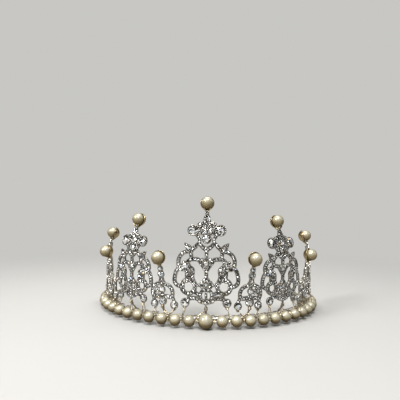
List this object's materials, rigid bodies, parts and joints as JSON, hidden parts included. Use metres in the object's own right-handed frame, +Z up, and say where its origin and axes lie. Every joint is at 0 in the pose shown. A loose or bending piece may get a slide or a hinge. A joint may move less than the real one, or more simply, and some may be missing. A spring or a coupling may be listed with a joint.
{
  "type": "bridal tiara",
  "caption": "Curved bridal tiara of openwork castings with pearl-topped points, rising to a tall centre, with a wire-laced row of pearls along the foot.",
  "frame": {"origin": "middle of the footprint, on the surface the tiara stands on", "axes": "+X to the wearer's left, -Y to the wearer's front, +Z up"},
  "size_m": [0.1406, 0.0788, 0.0687],
  "materials": {
    "silver_plate": "polished silver plate",
    "cup_plate": "warm polished plate",
    "binding_wire": "bright drawn wire",
    "pearl": "pearlescent ivory lacquer",
    "rhinestone": "clear foil-backed facets"
  },
  "bodies": {
    "frame": {"foundation_wire": "silver_plate", "stringing_wire": "binding_wire", "lacing_wire": "binding_wire", "panel_front": "silver_plate", "spire_front_left": "silver_plate", "spire_front_right": "silver_plate", "panel_side_left": "silver_plate", "panel_side_right": "silver_plate", "spire_side_left": "silver_plate", "spire_side_right": "silver_plate", "panel_rear_left": "silver_plate", "panel_rear_right": "silver_plate", "cup_panel_front": "cup_plate", "cup_spire_front_left": "cup_plate", "cup_spire_front_right": "cup_plate", "cup_panel_side_left": "cup_plate", "cup_panel_side_right": "cup_plate", "cup_spire_side_left": "cup_plate", "cup_spire_side_right": "cup_plate", "cup_panel_rear_left": "cup_plate", "cup_panel_rear_right": "cup_plate", "finial_pearl_panel_front": "pearl", "finial_pearl_spire_front_left": "pearl", "finial_pearl_spire_front_right": "pearl", "finial_pearl_panel_side_left": "pearl", "finial_pearl_panel_side_right": "pearl", "finial_pearl_spire_side_left": "pearl", "finial_pearl_spire_side_right": "pearl", "finial_pearl_panel_rear_left": "pearl", "finial_pearl_panel_rear_right": "pearl"},
    "strand_pearl_left_01": {"strand_pearl_left_01": "pearl"},
    "strand_pearl_left_02": {"strand_pearl_left_02": "pearl"},
    "strand_pearl_left_03": {"strand_pearl_left_03": "pearl"},
    "strand_pearl_left_04": {"strand_pearl_left_04": "pearl"},
    "strand_pearl_left_05": {"strand_pearl_left_05": "pearl"},
    "strand_pearl_left_06": {"strand_pearl_left_06": "pearl"},
    "strand_pearl_left_07": {"strand_pearl_left_07": "pearl"},
    "strand_pearl_left_08": {"strand_pearl_left_08": "pearl"},
    "strand_pearl_left_09": {"strand_pearl_left_09": "pearl"},
    "strand_pearl_left_10": {"strand_pearl_left_10": "pearl"},
    "strand_pearl_left_11": {"strand_pearl_left_11": "pearl"},
    "strand_pearl_left_12": {"strand_pearl_left_12": "pearl"},
    "strand_pearl_left_13": {"strand_pearl_left_13": "pearl"},
    "strand_pearl_left_14": {"strand_pearl_left_14": "pearl"},
    "strand_pearl_middle": {"strand_pearl_middle": "pearl"},
    "strand_pearl_right_01": {"strand_pearl_right_01": "pearl"},
    "strand_pearl_right_02": {"strand_pearl_right_02": "pearl"},
    "strand_pearl_right_03": {"strand_pearl_right_03": "pearl"},
    "strand_pearl_right_04": {"strand_pearl_right_04": "pearl"},
    "strand_pearl_right_05": {"strand_pearl_right_05": "pearl"},
    "strand_pearl_right_06": {"strand_pearl_right_06": "pearl"},
    "strand_pearl_right_07": {"strand_pearl_right_07": "pearl"},
    "strand_pearl_right_08": {"strand_pearl_right_08": "pearl"},
    "strand_pearl_right_09": {"strand_pearl_right_09": "pearl"},
    "strand_pearl_right_10": {"strand_pearl_right_10": "pearl"},
    "strand_pearl_right_11": {"strand_pearl_right_11": "pearl"},
    "strand_pearl_right_12": {"strand_pearl_right_12": "pearl"},
    "strand_pearl_right_13": {"strand_pearl_right_13": "pearl"},
    "strand_pearl_right_14": {"strand_pearl_right_14": "pearl"}
  },
  "joints": [
    {"name": "strand_pearl_left_01_spin", "type": "hinge", "parent": "frame", "child": "strand_pearl_left_01", "pos_m": [0.00854, -0.03491, 0.004], "axis": [0.9939, 0.11, 0], "continuous": true},
    {"name": "strand_pearl_left_02_spin", "type": "hinge", "parent": "frame", "child": "strand_pearl_left_02", "pos_m": [0.01598, -0.03371, 0.004], "axis": [0.9784, 0.2069, 0], "continuous": true},
    {"name": "strand_pearl_left_03_spin", "type": "hinge", "parent": "frame", "child": "strand_pearl_left_03", "pos_m": [0.02327, -0.03179, 0.004], "axis": [0.9528, 0.3037, 0], "continuous": true},
    {"name": "strand_pearl_left_04_spin", "type": "hinge", "parent": "frame", "child": "strand_pearl_left_04", "pos_m": [0.03033, -0.02914, 0.004], "axis": [0.9165, 0.4001, 0], "continuous": true},
    {"name": "strand_pearl_left_05_spin", "type": "hinge", "parent": "frame", "child": "strand_pearl_left_05", "pos_m": [0.03706, -0.02576, 0.004], "axis": [0.8686, 0.4955, 0], "continuous": true},
    {"name": "strand_pearl_left_06_spin", "type": "hinge", "parent": "frame", "child": "strand_pearl_left_06", "pos_m": [0.04339, -0.02167, 0.004], "axis": [0.8081, 0.5891, 0], "continuous": true},
    {"name": "strand_pearl_left_07_spin", "type": "hinge", "parent": "frame", "child": "strand_pearl_left_07", "pos_m": [0.04921, -0.01688, 0.004], "axis": [0.7337, 0.6794, 0], "continuous": true},
    {"name": "strand_pearl_left_08_spin", "type": "hinge", "parent": "frame", "child": "strand_pearl_left_08", "pos_m": [0.05442, -0.01144, 0.004], "axis": [0.6447, 0.7645, 0], "continuous": true},
    {"name": "strand_pearl_left_09_spin", "type": "hinge", "parent": "frame", "child": "strand_pearl_left_09", "pos_m": [0.0589, -0.00537, 0.004], "axis": [0.5403, 0.8414, 0], "continuous": true},
    {"name": "strand_pearl_left_10_spin", "type": "hinge", "parent": "frame", "child": "strand_pearl_left_10", "pos_m": [0.06253, 0.00122, 0.004], "axis": [0.4211, 0.907, 0], "continuous": true},
    {"name": "strand_pearl_left_11_spin", "type": "hinge", "parent": "frame", "child": "strand_pearl_left_11", "pos_m": [0.06521, 0.00826, 0.004], "axis": [0.2885, 0.9575, 0], "continuous": true},
    {"name": "strand_pearl_left_12_spin", "type": "hinge", "parent": "frame", "child": "strand_pearl_left_12", "pos_m": [0.06686, 0.01562, 0.004], "axis": [0.1459, 0.9893, 0], "continuous": true},
    {"name": "strand_pearl_left_13_spin", "type": "hinge", "parent": "frame", "child": "strand_pearl_left_13", "pos_m": [0.0674, 0.02313, 0.004], "axis": [-0.0022, 1, 0], "continuous": true},
    {"name": "strand_pearl_left_14_spin", "type": "hinge", "parent": "frame", "child": "strand_pearl_left_14", "pos_m": [0.06682, 0.03064, 0.004], "axis": [-0.1502, 0.9887, 0], "continuous": true},
    {"name": "strand_pearl_middle_spin", "type": "hinge", "parent": "frame", "child": "strand_pearl_middle", "pos_m": [0, -0.03538, 0.004], "axis": [1, 0, 0], "continuous": true},
    {"name": "strand_pearl_right_01_spin", "type": "hinge", "parent": "frame", "child": "strand_pearl_right_01", "pos_m": [-0.00854, -0.03491, 0.004], "axis": [0.9939, -0.11, 0], "continuous": true},
    {"name": "strand_pearl_right_02_spin", "type": "hinge", "parent": "frame", "child": "strand_pearl_right_02", "pos_m": [-0.01598, -0.03371, 0.004], "axis": [0.9784, -0.2069, 0], "continuous": true},
    {"name": "strand_pearl_right_03_spin", "type": "hinge", "parent": "frame", "child": "strand_pearl_right_03", "pos_m": [-0.02327, -0.03179, 0.004], "axis": [0.9528, -0.3037, 0], "continuous": true},
    {"name": "strand_pearl_right_04_spin", "type": "hinge", "parent": "frame", "child": "strand_pearl_right_04", "pos_m": [-0.03033, -0.02914, 0.004], "axis": [0.9165, -0.4001, 0], "continuous": true},
    {"name": "strand_pearl_right_05_spin", "type": "hinge", "parent": "frame", "child": "strand_pearl_right_05", "pos_m": [-0.03706, -0.02576, 0.004], "axis": [0.8686, -0.4955, 0], "continuous": true},
    {"name": "strand_pearl_right_06_spin", "type": "hinge", "parent": "frame", "child": "strand_pearl_right_06", "pos_m": [-0.04339, -0.02167, 0.004], "axis": [0.8081, -0.5891, 0], "continuous": true},
    {"name": "strand_pearl_right_07_spin", "type": "hinge", "parent": "frame", "child": "strand_pearl_right_07", "pos_m": [-0.04921, -0.01688, 0.004], "axis": [0.7337, -0.6794, 0], "continuous": true},
    {"name": "strand_pearl_right_08_spin", "type": "hinge", "parent": "frame", "child": "strand_pearl_right_08", "pos_m": [-0.05442, -0.01144, 0.004], "axis": [0.6447, -0.7645, 0], "continuous": true},
    {"name": "strand_pearl_right_09_spin", "type": "hinge", "parent": "frame", "child": "strand_pearl_right_09", "pos_m": [-0.0589, -0.00537, 0.004], "axis": [0.5403, -0.8414, 0], "continuous": true},
    {"name": "strand_pearl_right_10_spin", "type": "hinge", "parent": "frame", "child": "strand_pearl_right_10", "pos_m": [-0.06253, 0.00122, 0.004], "axis": [0.4211, -0.907, 0], "continuous": true},
    {"name": "strand_pearl_right_11_spin", "type": "hinge", "parent": "frame", "child": "strand_pearl_right_11", "pos_m": [-0.06521, 0.00826, 0.004], "axis": [0.2885, -0.9575, 0], "continuous": true},
    {"name": "strand_pearl_right_12_spin", "type": "hinge", "parent": "frame", "child": "strand_pearl_right_12", "pos_m": [-0.06686, 0.01562, 0.004], "axis": [0.1459, -0.9893, 0], "continuous": true},
    {"name": "strand_pearl_right_13_spin", "type": "hinge", "parent": "frame", "child": "strand_pearl_right_13", "pos_m": [-0.0674, 0.02313, 0.004], "axis": [-0.0022, -1, 0], "continuous": true},
    {"name": "strand_pearl_right_14_spin", "type": "hinge", "parent": "frame", "child": "strand_pearl_right_14", "pos_m": [-0.06682, 0.03064, 0.004], "axis": [-0.1502, -0.9887, 0], "continuous": true}
  ]
}
